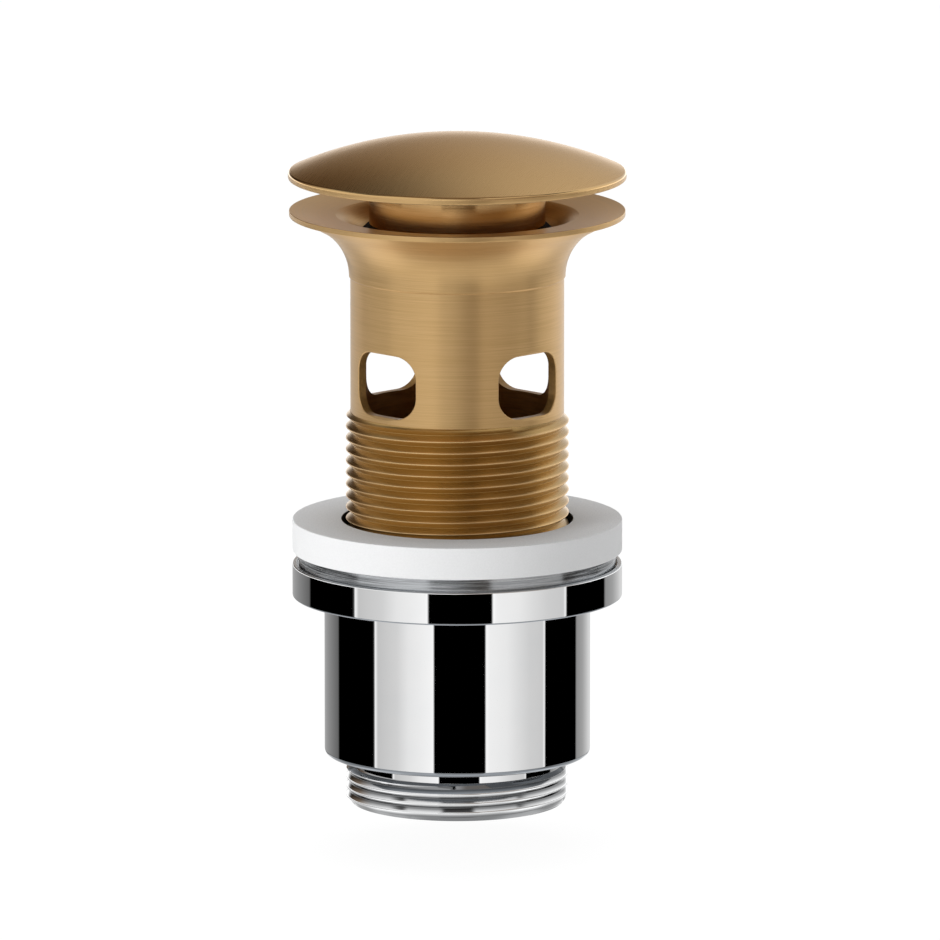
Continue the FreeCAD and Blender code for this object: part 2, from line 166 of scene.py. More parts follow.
# Mesh fineness
AROUND = 256
HUB_AROUND = 96
THREAD_AROUND = 180
ARC_STEP = math.radians(6)
ROUNDING_STEP = math.radians(15)
SHARP_ANGLE = math.radians(32)
SUPPORT = 0.04 * MM         # keeps the shading of flat faces flat beside a rounding
TOUCHING = 1e-7             # points closer than this, in metres, are one point

# Which faces get a finish
PAINT_MARGIN = 0.1 * MM         # this far past a height or a radius still counts as on it
BORE_PAINT_MARGIN = 0.3 * MM    # this far outside the bore's radius still counts as bore
RING_PAINT_MARGIN = 1.0 * MM    # the flange's upper finish begins this far outside the bore
RIM_PAINT_WIDTH = 0.8 * MM


# Outlines in the half section

def on_circle(centre, radius, angle):
    return (centre[0] + radius * math.cos(angle), centre[1] + radius * math.sin(angle))


def arc(centre, radius, start, end, step=ARC_STEP):
    """Points of an arc, both ends included, as corners with no rounding of their own."""
    count = max(2, math.ceil(abs(end - start) / step))
    angles = [start + (end - start) * i / count for i in range(count + 1)]
    return [(*on_circle(centre, radius, angle), 0.0) for angle in angles]


def rectangle(left, right, low, high, rounding):
    """Corners of an upright rectangle, all rounded alike."""
    return [(left, low, rounding), (right, low, rounding), (right, high, rounding), (left, high, rounding)]


def rounded(corners):
    """Turns a closed outline of (radius, height, rounding) into points, each rounding as an arc."""
    points = []
    for i, (x, z, rounding) in enumerate(corners):
        here = Vector((x, z))
        if not rounding:
            points.append(here)
            continue
        back = (Vector(corners[i - 1][:2]) - here).normalized()
        ahead = (Vector(corners[(i + 1) % len(corners)][:2]) - here).normalized()
        half = back.angle(ahead) / 2
        centre = here + (back + ahead).normalized() * (rounding / math.sin(half))
        reach = rounding / math.tan(half)
        first = here + back * reach - centre
        last = here + ahead * reach - centre
        begin = math.atan2(first.y, first.x)
        sweep = math.remainder(math.atan2(last.y, last.x) - begin, 2 * math.pi)
        steps = max(3, math.ceil(abs(sweep) / ROUNDING_STEP))
        points.append(here + back * (reach + SUPPORT))
        points += [Vector(on_circle(centre, rounding, begin + sweep * k / steps)) for k in range(steps + 1)]
        points.append(here + ahead * (reach + SUPPORT))
    return points


def thread_section(pitch, flank, crest_round):
    """Outline of one thread, as (share of the pitch, radius). Its crest comes first and then its root."""
    sharp_depth = pitch / 2 / math.tan(flank)
    lost_to_rounding = (crest_round + ROOT_ROUND) * (1 / math.sin(flank) - 1)
    root_r = THREAD_R - sharp_depth + lost_to_rounding
    tangent = math.pi / 2 - flank
    support_out = SUPPORT * math.cos(flank)
    support_along = SUPPORT * math.sin(flank)
    section = []
    for middle, centre, bulge in ((0.25, THREAD_R - crest_round, crest_round),
                                  (0.75, root_r + ROOT_ROUND, -ROOT_ROUND)):
        half_width = (abs(bulge) * math.sin(tangent) + support_along) / pitch
        flank_r = centre + bulge * math.cos(tangent) - math.copysign(support_out, bulge)
        section.append((middle - half_width, flank_r))
        for k in range(-2, 3):
            angle = tangent * k / 2
            section.append((middle + abs(bulge) * math.sin(angle) / pitch, centre + bulge * math.cos(angle)))
        section.append((middle + half_width, flank_r))
    return section


# Meshes

def mesh_object(name, mesh_data):
    """Puts a bmesh in the scene as a smooth object whose hard edges stay sharp."""
    bmesh.ops.recalc_face_normals(mesh_data, faces=mesh_data.faces)
    mesh = bpy.data.meshes.new(name)
    mesh_data.to_mesh(mesh)
    mesh_data.free()
    mesh.shade_smooth()
    mesh.set_sharp_from_angle(angle=SHARP_ANGLE)
    piece = bpy.data.objects.new(name, mesh)
    bpy.context.collection.objects.link(piece)
    return piece


def row_round(mesh_data, radius, height, around):
    """A ring of vertices. On the axis it is one vertex, repeated."""
    if radius < TOUCHING:
        return [mesh_data.verts.new((0, 0, height))] * around
    points = [on_circle((0, 0), radius, 2 * math.pi * j / around) for j in range(around)]
    return [mesh_data.verts.new((x, y, height)) for x, y in points]


def upright_row(mesh_data, points, out, angle):
    """Vertices for (across, height) points at distances out from the axis, turned to an angle."""
    row = []
    for (across, height), distance in zip(points, out):
        x = distance * math.cos(angle) - across * math.sin(angle)
        y = distance * math.sin(angle) + across * math.cos(angle)
        row.append(mesh_data.verts.new((x, y, height)))
    return row


def skin(mesh_data, row, following):
    """Faces between two closed rows of vertices, leaving out what shrinks to a line."""
    for j in range(len(row)):
        k = (j + 1) % len(row)
        corners = (row[j], row[k], following[k], following[j])
        corners = [vert for n, vert in enumerate(corners) if vert is not corners[n - 1]]
        if len(corners) > 2:
            mesh_data.faces.new(corners)


def turned_mesh(corners, around=AROUND):
    """A closed outline of (radius, height, rounding) turned about the axis."""
    mesh_data = bmesh.new()
    rows = [row_round(mesh_data, radius, height, around) for radius, height in rounded(corners)]
    for row, following in zip(rows, rows[1:] + rows[:1]):
        skin(mesh_data, row, following)
    return mesh_data


def turned(name, corners):
    return mesh_object(name, turned_mesh(corners))


def cut(piece, cutter):
    """Takes one mesh out of another and leaves no modifier behind."""
    modifier = piece.modifiers.new("cut", "BOOLEAN")
    modifier.operation = "DIFFERENCE"
    modifier.solver = "EXACT"
    modifier.object = cutter
    depsgraph = bpy.context.evaluated_depsgraph_get()
    result = bpy.data.meshes.new_from_object(piece.evaluated_get(depsgraph))
    piece.modifiers.clear()
    old = piece.data
    piece.data = result
    bpy.data.meshes.remove(old)
    bpy.data.objects.remove(cutter)
    piece.data.shade_smooth()
    piece.data.set_sharp_from_angle(angle=SHARP_ANGLE)


def helical_surface(mesh_data, section, pitch, bottom, top, top_end_r, runout):
    """The thread's outer face, a little longer than needed, with its crests bevelled off at both ends."""
    turns = math.ceil((top - bottom) / pitch) + 2
    columns = []
    for j in range(THREAD_AROUND + 1):
        share = j / THREAD_AROUND
        angle = 2 * math.pi * share
        column = []
        for turn in range(-1, turns):
            for phase, radius in section:
                height = bottom + (turn + phase + share - 1) * pitch
                bottom_limit = THREAD_R - THREAD_BEVEL + max(0.0, height - bottom)
                top_limit = top_end_r + max(0.0, top - height) / runout
                radius = min(radius, bottom_limit, top_limit)
                column.append(mesh_data.verts.new((*on_circle((0, 0), radius, angle), height)))
        columns.append(column)
    for column, following in zip(columns, columns[1:]):
        for i in range(len(column) - 1):
            mesh_data.faces.new((column[i], following[i], following[i + 1], column[i + 1]))
    bmesh.ops.remove_doubles(mesh_data, verts=mesh_data.verts, dist=TOUCHING)


def threaded_ring(name, section, pitch, bottom, top, top_end_r, runout=1.0):
    """A helical male thread round a thin ring, cut off flat at both ends."""
    mesh_data = bmesh.new()
    helical_surface(mesh_data, section, pitch, bottom, top, top_end_r, runout)
    for height, up in ((bottom, -1), (top, 1)):
        geometry = mesh_data.verts[:] + mesh_data.edges[:] + mesh_data.faces[:]
        bmesh.ops.bisect_plane(mesh_data, geom=geometry, dist=TOUCHING / 10, plane_co=(0, 0, height),
                               plane_no=(0, 0, up), clear_outer=True)
    for height in (bottom, top):
        rim = [edge for edge in mesh_data.edges
               if edge.is_boundary and all(abs(vert.co.z - height) < TOUCHING for vert in edge.verts)]
        made = bmesh.ops.extrude_edge_only(mesh_data, edges=rim)["geom"]
        for vert in made:
            if isinstance(vert, bmesh.types.BMVert):
                vert.co.xy = vert.co.xy.normalized() * THREAD_INNER_R
    inner = [edge for edge in mesh_data.edges if edge.is_boundary]
    bmesh.ops.bridge_loops(mesh_data, edges=inner)
    return mesh_object(name, mesh_data)


def from_axis(point):
    return math.hypot(point.x, point.y)


def outward(centre, normal):
    """How squarely a face looks away from the axis: 1 straight out, -1 straight in."""
    return (normal.x * centre.x + normal.y * centre.y) / from_axis(centre)


def paint(piece, material, test):
    """Gives one of a piece's materials to the faces whose middle and normal pass a test."""
    index = piece.data.materials.find(material.name)
    for polygon in piece.data.polygons:
        if test(polygon.center, polygon.normal):
            polygon.material_index = index


def wear(piece, body, slot, *materials, replaces):
    """Sets a piece's materials, hangs it on the body that it rides on and hides the CAD part that it stands
    for. The slot, what it is made of, is not used.
    """
    piece.data.materials.clear()
    for material in materials:
        piece.data.materials.append(material)
    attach(piece, body)
    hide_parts(replaces)


# Node trees

class Nodes:
    """A node tree, with short calls to add and join its nodes."""

    def __init__(self, tree):
        self.tree = tree

    def node(self, kind, **settings):
        made = self.tree.nodes.new(kind)
        for key, value in settings.items():
            setattr(made, key, value)
        return made

    def put(self, socket, value):
        if isinstance(value, bpy.types.NodeSocket):
            self.tree.links.new(value, socket)
        else:
            socket.default_value = value

    def fill(self, node, **values):
        """Sets a node's inputs, each named as in Blender with _ for a space."""
        for name, value in values.items():
            self.put(node.inputs[name.replace("_", " ")], value)

    def calculate(self, operation, first, second=0.0):
        made = self.node("ShaderNodeMath", operation=operation)
        self.put(made.inputs[0], first)
        self.put(made.inputs[1], second)
        return made.outputs[0]

    def split(self, vector):
        made = self.node("ShaderNodeSeparateXYZ")
        self.put(made.inputs[0], vector)
        return made.outputs

    def rescale(self, value, from_low, from_high, low=0.0, high=1.0, kind="LINEAR"):
        """Carries a value from one range into another and stops at its ends."""
        made = self.node("ShaderNodeMapRange", interpolation_type=kind)
        self.fill(made, Value=value, From_Min=from_low, From_Max=from_high, To_Min=low, To_Max=high)
        return made.outputs["Result"]

    def colours(self, value, stops):
        made = self.node("ShaderNodeValToRGB")
        ramp = made.color_ramp
        while len(ramp.elements) < len(stops):
            ramp.elements.new(0.5)
        for element, (position, colour) in zip(ramp.elements, stops):
            element.position = position
            element.color = (*colour, 1.0)
        self.put(made.inputs["Fac"], value)
        return made.outputs["Color"]

    def mix(self, share, first, second):
        """One colour going over into another."""
        made = self.node("ShaderNodeMix", data_type="RGBA")
        self.fill(made, Factor=share, A=first, B=second)
        return made.outputs["Result"]

    def mix_shaders(self, share, first, second):
        made = self.node("ShaderNodeMixShader")
        for socket, value in zip(made.inputs, (share, first, second)):
            self.put(socket, value)
        return made.outputs[0]


NOISE_LOW, NOISE_HIGH = 0.3, 0.7    # between these lies nearly all of a noise's value
ACROSS_GRAIN = 0.25                 # turns a stretched highlight across the grain


class Finish(Nodes):
    """The node tree of one material."""

    def __init__(self, name):
        self.material = bpy.data.materials.new(name)
        self.material.use_nodes = True
        super().__init__(self.material.node_tree)
        self.surface = self.tree.nodes["Principled BSDF"]

    def place(self):
        """The point on the piece, in metres."""
        return self.node("ShaderNodeTexCoord").outputs["Object"]

    def radius(self):
        """The point's distance from the axis, kept off zero."""
        x, y = self.split(self.place())[:2]
        square = self.calculate("ADD", self.calculate("MULTIPLY", x, x), self.calculate("MULTIPLY", y, y))
        return self.calculate("SQRT", self.calculate("ADD", square, 1e-12))

    def noise(self, vector, scale, detail, roughness, w=0.0):
        made = self.node("ShaderNodeTexNoise", noise_dimensions="4D")
        self.fill(made, Vector=vector, W=w, Scale=scale, Detail=detail, Roughness=roughness)
        return made.outputs["Fac"]

    def turning(self, streaks, lines):
        """Noise drawn out round the axis: streaks in a turn, and lines to the metre across."""
        x, y, z = self.split(self.place())
        radius = self.radius()
        joined = self.node("ShaderNodeCombineXYZ")
        self.put(joined.inputs[0], self.calculate("MULTIPLY", self.calculate("DIVIDE", x, radius), streaks))
        self.put(joined.inputs[1], self.calculate("MULTIPLY", self.calculate("DIVIDE", y, radius), streaks))
        self.put(joined.inputs[2], self.calculate("MULTIPLY", z, lines))
        across = self.calculate("MULTIPLY", radius, lines)
        return self.noise(joined.outputs[0], scale=1.0, detail=2.0, roughness=0.6, w=across)

    def set(self, **values):
        """Sets inputs of the surface."""
        self.fill(self.surface, **values)

    def brush(self, stretch, **direction):
        """Draws highlights out across the grain."""
        tangent = self.node("ShaderNodeTangent", **direction)
        self.set(Anisotropic=stretch, Anisotropic_Rotation=ACROSS_GRAIN, Tangent=tangent.outputs[0])

    def brush_round(self, stretch):
        self.brush(stretch, direction_type="RADIAL", axis="Z")

    def two_tones(self, noise, dark, light):
        """A colour that follows the grain."""
        self.set(Base_Color=self.colours(noise, ((NOISE_LOW, dark), (NOISE_HIGH, light))))

    def shade_grooves_by_depth(self, shaded_groove, crest, depth):
        """Painted shade: a darker colour down in a thread's grooves, going over into another on its crests.
        """
        height = self.rescale(self.radius(), THREAD_R - depth, THREAD_R - CREST_LAND)
        self.set(Base_Color=self.colours(height, ((0.0, shaded_groove), (1.0, crest))))

    def rough(self, noise, low, high):
        """A roughness that follows the grain."""
        self.set(Roughness=self.rescale(noise, NOISE_LOW, NOISE_HIGH, low, high))

    def bump(self, height, strength, depth):
        made = self.node("ShaderNodeBump")
        self.fill(made, Height=height, Strength=strength, Distance=depth)
        self.set(Normal=made.outputs["Normal"])


# Finishes

BRONZE = (0.64, 0.415, 0.185)
BRONZE_LIGHT = (0.70, 0.465, 0.22)
BRONZE_DARK = (0.58, 0.365, 0.152)
BRONZE_SOFT_LIGHT = (0.68, 0.445, 0.207)
BRONZE_SOFT_DARK = (0.60, 0.38, 0.163)
# Painted shade down in the grooves of the waste's thread
SHADED_GROOVE_BRONZE = (0.49, 0.317, 0.121)
# Painted shade down in the grooves of the spigot's thread
SHADED_GROOVE_CHROME = (0.235, 0.24, 0.245)
CREST_CHROME = (0.80, 0.805, 0.81)
RUBBER_DARK = (0.014, 0.014, 0.015)
RUBBER_LIGHT = (0.032, 0.032, 0.034)
NO_TINT = (1.0, 1.0, 1.0, 1.0)
EDGE_TINT = (0.93, 0.87, 0.78, 1.0)     # what a metal's colour goes to where it is seen edge on

BRONZE_STREAKS = 1.7
BRONZE_LINES = 7500.0
BRUSHING_CELLS = (110.0, 11000.0, 1.0)  # noise cells to the metre, along and across the dome's grain
GRAIN_DEPTH = 0.015 * MM
COARSE_GRAIN_DEPTH = 0.03 * MM


def turned_bronze(name, stretch, rough, edge=NO_TINT):
    """Fine grain round the axis, as on a brushed lathe part."""
    finish = Finish(name)
    grain = finish.turning(BRONZE_STREAKS, BRONZE_LINES)
    tones = ((NOISE_LOW, BRONZE_DARK), (0.5, BRONZE), (NOISE_HIGH, BRONZE_LIGHT))
    finish.set(Metallic=1.0)
    finish.brush_round(stretch)
    finish.set(Base_Color=finish.colours(grain, tones), Specular_Tint=edge)
    finish.rough(grain, *rough)
    finish.bump(grain, strength=0.2, depth=GRAIN_DEPTH)
    return finish.material


def thread_bronze(name):
    """Turned bronze with painted shade, darker down in the grooves than on the crests."""
    finish = Finish(name)
    grain = finish.turning(BRONZE_STREAKS, BRONZE_LINES)
    finish.set(Metallic=1.0)
    finish.brush_round(0.4)
    finish.shade_grooves_by_depth(SHADED_GROOVE_BRONZE, BRONZE_LIGHT, 0.35 * MM)
    finish.rough(grain, 0.25, 0.33)
    finish.bump(grain, strength=0.2, depth=GRAIN_DEPTH)
    return finish.material


def brushed_cap_bronze(name):
    """Straight grain over the dome. Its direction comes from the mesh's brushing coordinates."""
    finish = Finish(name)
    place = finish.node("ShaderNodeUVMap", uv_map="brushing")
    cells = finish.node("ShaderNodeMapping")
    finish.fill(cells, Vector=place.outputs["UV"], Scale=BRUSHING_CELLS)
    grain = finish.noise(cells.outputs["Vector"], scale=1.0, detail=2.0, roughness=0.6)
    finish.set(Metallic=1.0)
    finish.brush(0.3, direction_type="UV_MAP", uv_map="brushing")
    finish.two_tones(grain, BRONZE_SOFT_DARK, BRONZE_SOFT_LIGHT)
    finish.set(Specular_Tint=EDGE_TINT)
    finish.rough(grain, 0.25, 0.33)
    finish.bump(grain, strength=0.26, depth=GRAIN_DEPTH)
    return finish.material


def shaded_bore_bronze(name, metallic, dark, light):
    """The unbrushed walls inside the tube and round its windows. Their darker colour is painted shade."""
    finish = Finish(name)
    grain = finish.turning(streaks=4.0, lines=2500.0)
    finish.set(Metallic=metallic)
    finish.two_tones(grain, dark, light)
    finish.rough(grain, 0.3, 0.45)
    finish.bump(grain, strength=0.2, depth=COARSE_GRAIN_DEPTH)
    return finish.material


def chrome(name, dark, light):
    """Polished plate with only a breath of unevenness."""
    finish = Finish(name)
    haze = finish.noise(finish.place(), scale=160.0, detail=3.0, roughness=0.5)
    finish.set(Metallic=1.0)
    finish.two_tones(haze, dark, light)
    finish.rough(haze, 0.015, 0.035)
    return finish.material


def chrome_thread(name):
    """Polished plate with painted shade, darker down in the grooves than on the crests."""
    finish = Finish(name)
    grain = finish.turning(streaks=3.0, lines=5000.0)
    finish.set(Metallic=1.0)
    finish.shade_grooves_by_depth(SHADED_GROOVE_CHROME, CREST_CHROME, 0.40 * MM)
    finish.rough(grain, 0.05, 0.12)
    finish.bump(grain, strength=0.1, depth=0.02 * MM)
    return finish.material


def turned_metal(name, dark, light, rough, streaks=3.0, lines=6000.0, stretch=0.5):
    """Plain turned metal with a coarser grain than the bronze."""
    finish = Finish(name)
    grain = finish.turning(streaks, lines)
    finish.set(Metallic=1.0)
    finish.brush_round(stretch)
    finish.two_tones(grain, dark, light)
    finish.rough(grain, *rough)
    finish.bump(grain, strength=0.3, depth=COARSE_GRAIN_DEPTH)
    return finish.material


def moulded_washer(name, dark, light, strength):
    """Pale plastic with a fine sandy grain."""
    finish = Finish(name)
    sand = finish.noise(finish.place(), scale=3200.0, detail=2.0, roughness=0.6)
    finish.two_tones(sand, dark, light)
    finish.rough(sand, 0.55, 0.75)
    finish.bump(sand, strength, depth=0.05 * MM)
    return finish.material


def rubber(name):
    """Dull black with a fine grain."""
    finish = Finish(name)
    grain = finish.noise(finish.place(), scale=1800.0, detail=3.0, roughness=0.6)
    finish.two_tones(grain, RUBBER_DARK, RUBBER_LIGHT)
    finish.set(Specular_IOR_Level=0.08)
    finish.rough(grain, 0.65, 0.85)
    finish.bump(grain, strength=0.2, depth=0.04 * MM)
    return finish.material


TURNED_BRONZE = turned_bronze("bronze_turned", stretch=0.85, rough=(0.33, 0.43))
RING_BRONZE = turned_bronze("bronze_ring", stretch=0.3, rough=(0.30, 0.38), edge=EDGE_TINT)
THREAD_BRONZE = thread_bronze("bronze_thread")
BOSS_BRONZE = turned_bronze("bronze_boss", stretch=0.6, rough=(0.15, 0.22))
RIM_BRONZE = turned_bronze("bronze_rim", stretch=0.0, rough=(0.09, 0.14))
SHADED_CUT_BRONZE = shaded_bore_bronze("bronze_cut_painted_shade", 0.45, dark=(0.36, 0.205, 0.065), light=(0.46, 0.265, 0.085))
CAP_BRONZE = brushed_cap_bronze("bronze_cap")
SHADED_BORE_BRONZE = shaded_bore_bronze("bronze_bore_painted_shade", 0.7, dark=(0.30, 0.135, 0.035), light=(0.42, 0.20, 0.055))
CHROME = chrome("chrome_plate", dark=(0.93, 0.935, 0.94), light=(0.96, 0.96, 0.96))
# Dark grey plate for faces that look down: a painted reflection of the shade under the part
CHROME_UNDERSIDE_PAINTED_REFLECTION = chrome("chrome_underside_painted_reflection", dark=(0.27, 0.29, 0.315), light=(0.30, 0.32, 0.345))
CHROME_THREAD = chrome_thread("chrome_thread")
WASHER_SIDE = moulded_washer("washer_side", (0.78, 0.785, 0.79), (0.82, 0.825, 0.83), strength=0.1)
WASHER_FACE = moulded_washer("washer_face", (0.69, 0.72, 0.755), (0.84, 0.87, 0.90), strength=0.6)
SLIP_STEEL = turned_metal("slip_steel", (0.27, 0.28, 0.29), (0.66, 0.68, 0.70), rough=(0.14, 0.28),
                          streaks=2.5, lines=4200.0, stretch=0.6)
BRASS = turned_metal("brass_turned", (0.60, 0.43, 0.17), (0.76, 0.57, 0.27), rough=(0.2, 0.34))
STEEL = turned_metal("steel_bright", (0.55, 0.55, 0.56), (0.70, 0.70, 0.71), rough=(0.16, 0.28))
RUBBER = rubber("rubber_black")


# Pieces

def waste_shell():
    """Flange, flared throat, neck and tube, with a thin core under the thread."""
    seat = FLANGE_TOP - FLANGE_EDGE
    neck_bottom = FLANGE_TOP - NECK_LENGTH
    tube_bottom = FLANGE_TOP - THREAD_START - THREAD_SEAM
    core_bottom = TUBE_END + CORE_INSET
    neck_centre = (NECK_R + NECK_FILLET, neck_bottom)
    neck_sweep = math.acos((neck_centre[0] - NECK_TOP_R) / NECK_FILLET)
    flare_top = FLANGE_TOP - (FLANGE_R - RING_INNER_R) * math.tan(RING_SLOPE)
    flare_slope = math.asin(1 - (RING_INNER_R - BORE_R) / FLARE_R)
    flare_centre = (BORE_R + FLARE_R, flare_top - FLARE_R * math.cos(flare_slope))

    corners = [(BORE_R, core_bottom, 0.0), (THREAD_CORE_R, core_bottom, 0.0)]
    corners += [(THREAD_CORE_R, tube_bottom, 0.0), (TUBE_R, tube_bottom, 0.0)]
    corners += [(TUBE_R, neck_bottom - NECK_STEP, 0.0), (NECK_R, neck_bottom, NECK_STEP_ROUND)]
    corners += arc(neck_centre, NECK_FILLET, math.pi - NECK_FILLET_START, math.pi - neck_sweep)
    corners += [(FLANGE_R - SEAT_WIDTH, seat, 0.0), (FLANGE_R, seat, FLANGE_LOW_ROUND)]
    corners += [(FLANGE_R, FLANGE_TOP, FLANGE_TOP_ROUND), (RING_INNER_R, flare_top, RING_INNER_ROUND)]
    corners += arc(flare_centre, FLARE_R, math.pi / 2 + flare_slope, math.pi)[1:]
    return turned("waste_body_shell", corners)


def slot_outline(grow):
    """Points round one window in its own plane, as (across, height), grown by a bevel's width."""
    half_width = SLOT_WIDTH / 2 + grow
    half_height = SLOT_HEIGHT / 2 + grow
    corner = SLOT_CORNER_R + grow
    middle = FLANGE_TOP - SLOT_TOP - SLOT_HEIGHT / 2
    quarter = math.pi / 2
    points = []
    for turns, (side, up) in enumerate(((1, 1), (-1, 1), (-1, -1), (1, -1))):
        centre = (side * (half_width - corner), middle + up * (half_height - corner))
        for k in range(SLOT_CORNER_STEPS + 1):
            points.append(on_circle(centre, corner, quarter * (turns + k / SLOT_CORNER_STEPS)))
    return points


def slot_cutter(angle):
    """A plug with the window's outline that widens where it leaves the tube's outer wall."""
    mesh_data = bmesh.new()
    sections = ((BORE_R - CUTTER_INSIDE, 0.0), (TUBE_R - SLOT_BEVEL, 0.0),
                (TUBE_R + CUTTER_OUTSIDE, SLOT_BEVEL + CUTTER_OUTSIDE))
    rows = []
    for radius, grow in sections:
        points = slot_outline(grow)
        out = [math.sqrt(radius ** 2 - across ** 2) for across, height in points]
        rows.append(upright_row(mesh_data, points, out, angle))
    for row, following in zip(rows, rows[1:]):
        skin(mesh_data, row, following)
    mesh_data.faces.new(rows[0])
    mesh_data.faces.new(rows[-1])
    bmesh.ops.triangulate(mesh_data, faces=[face for face in mesh_data.faces if len(face.verts) > 4])
    return mesh_object("slot_cutter", mesh_data)


def inner_cross():
    """Four arms from the tube's wall to the hub that holds the cartridge."""
    hub_top = HUB_BOTTOM + HUB_HEIGHT
    mesh_data = turned_mesh(rectangle(HUB_HOLE_R, HUB_R, HUB_BOTTOM, hub_top, CROSS_ROUND), HUB_AROUND)
    arm = rounded(rectangle(-ARM_WIDTH / 2, ARM_WIDTH / 2, HUB_BOTTOM + CROSS_ROUND, hub_top - CROSS_ROUND,
                            CROSS_ROUND))
    inner_end = (HUB_HOLE_R + HUB_R) / 2
    outer_end = BORE_R + ARM_INTO_WALL
    for k in range(ARM_COUNT):
        angle = 2 * math.pi * k / ARM_COUNT
        inner_row, outer_row = (upright_row(mesh_data, arm, [reach] * len(arm), angle)
                                for reach in (inner_end, outer_end))
        skin(mesh_data, inner_row, outer_row)
        mesh_data.faces.new(inner_row)
        mesh_data.faces.new(outer_row)
    return mesh_object("waste_body_cross", mesh_data)


def make_waste_body():
    shell = waste_shell()
    for degrees in SLOT_ANGLES:
        cut(shell, slot_cutter(math.radians(degrees)))
    wear(shell, "waste", "bronze", TURNED_BRONZE, SHADED_BORE_BRONZE, RING_BRONZE, SHADED_CUT_BRONZE, replaces="waste_body")
    bore_top = FLANGE_TOP - THROAT_DEPTH

    def is_shaded_bore(centre, normal):
        on_wall = from_axis(centre) < BORE_R + BORE_PAINT_MARGIN
        return on_wall and centre.z < bore_top and outward(centre, normal) < -0.5

    def is_ring(centre, normal):
        return normal.z > 0.3 and from_axis(centre) > BORE_R + RING_PAINT_MARGIN and centre.z > bore_top

    def is_shaded_cut(centre, normal):
        in_wall = BORE_R < from_axis(centre) < TUBE_R - SLOT_BEVEL
        return in_wall and centre.z < bore_top and abs(outward(centre, normal)) < 0.6

    # The inside of the tube and the windows' walls get darker colours as painted shade
    paint(shell, SHADED_BORE_BRONZE, is_shaded_bore)
    paint(shell, RING_BRONZE, is_ring)
    paint(shell, SHADED_CUT_BRONZE, is_shaded_cut)
    section = thread_section(PIPE_PITCH, PIPE_FLANK, PIPE_CREST_ROUND)
    thread = threaded_ring("waste_body_thread", section, PIPE_PITCH, TUBE_END, FLANGE_TOP - THREAD_START,
                           TUBE_R)
    wear(thread, "waste", "bronze", THREAD_BRONZE, replaces="waste_body")
    # The inner cross, deep in the tube, has the same painted shade
    wear(inner_cross(), "waste", "bronze", SHADED_BORE_BRONZE, replaces="waste_body")


def brushing_coordinates(piece, degrees):
    """Plan coordinates in metres, the first along the grain and the second across it."""
    direction = Vector((math.cos(math.radians(degrees)), math.sin(math.radians(degrees))))
    layer = piece.data.uv_layers.new(name="brushing")
    for loop in piece.data.loops:
        point = piece.data.vertices[loop.vertex_index].co
        along = point.x * direction.x + point.y * direction.y
        across = point.y * direction.x - point.x * direction.y
        layer.data[loop.index].uv = (along, across)


def make_cap():
    rim_top = CAP_APEX - CAP_RISE
    rim_bottom = rim_top - CAP_RIM
    dome_r = (CAP_R ** 2 + CAP_RISE ** 2) / (2 * CAP_RISE)
    dome_centre = (0.0, CAP_APEX - dome_r)
    under_r = dome_r - CAP_WALL
    land_r = CAP_R - CAP_RIM_LAND
    boss_inner_r = BOSS_R - BOSS_WALL
    stud_top = BOSS_BOTTOM + STUD_DEPTH

    corners = [(0.0, stud_top, 0.0), (STUD_R, stud_top, 0.0), (STUD_R, BOSS_BOTTOM, CAP_INNER_ROUND)]
    corners += [(BOSS_HUB_R, BOSS_BOTTOM, CAP_INNER_ROUND), (BOSS_HUB_R, rim_bottom, CAP_INNER_ROUND)]
    corners += [(boss_inner_r, rim_bottom, CAP_INNER_ROUND), (boss_inner_r, BOSS_BOTTOM, CAP_INNER_ROUND)]
    corners += [(BOSS_R, BOSS_BOTTOM, BOSS_ROUND)]
    corners += arc(dome_centre, under_r, math.acos(BOSS_R / under_r), math.acos(land_r / under_r), DOME_STEP)
    corners += [(land_r, rim_bottom, 0.0), (CAP_R, rim_bottom, CAP_RIM_LOW_ROUND)]
    corners += [(CAP_R, rim_top, CAP_RIM_TOP_ROUND)]
    corners += arc(dome_centre, dome_r, math.acos(CAP_R / dome_r) + DOME_START, math.pi / 2, DOME_STEP)
    cap = turned("mushroom_cap_skin", corners)
    brushing_coordinates(cap, BRUSHING_ANGLE)
    wear(cap, "plug", "bronze", TURNED_BRONZE, CAP_BRONZE, BOSS_BRONZE, RIM_BRONZE, replaces="mushroom_cap")

    def is_dome(centre, normal):
        return normal.z > 0.5 and centre.z > rim_bottom

    def is_boss(centre, normal):
        return centre.z < rim_bottom - CAP_INNER_ROUND

    def is_rim(centre, normal):
        on_edge = from_axis(centre) > CAP_R - RIM_PAINT_WIDTH and centre.z > rim_bottom
        return on_edge and 0.1 < normal.z < 0.88

    paint(cap, CAP_BRONZE, is_dome)
    paint(cap, BOSS_BRONZE, is_boss)
    paint(cap, RIM_BRONZE, is_rim)


def make_washers():
    outline = rectangle(WASHER_BORE_R, WASHER_HIGH[0], WASHER_LOW[2], WASHER_HIGH[2], WASHER_ROUND)
    washer = turned("basin_washer_skin", outline)
    wear(washer, "clamp", "white_washer", WASHER_SIDE, WASHER_FACE, RUBBER, replaces="basin_washer")
    paint(washer, WASHER_FACE, lambda centre, normal: abs(normal.z) > 0.8)
    # Painted shade: the washer's bore gets the black rubber, standing for the deep shade in the narrow gap
    # round the thread
    paint(washer, RUBBER, lambda centre, normal: from_axis(centre) < WASHER_BORE_R + PAINT_MARGIN)
    outline = rectangle(SLIP_BORE_R, SLIP_HIGH[0], SLIP_LOW[2], SLIP_HIGH[2], SLIP_ROUND)
    slip = turned("slip_washer_skin", outline)
    wear(slip, "clamp", "slip_steel", SLIP_STEEL, replaces="slip_washer")


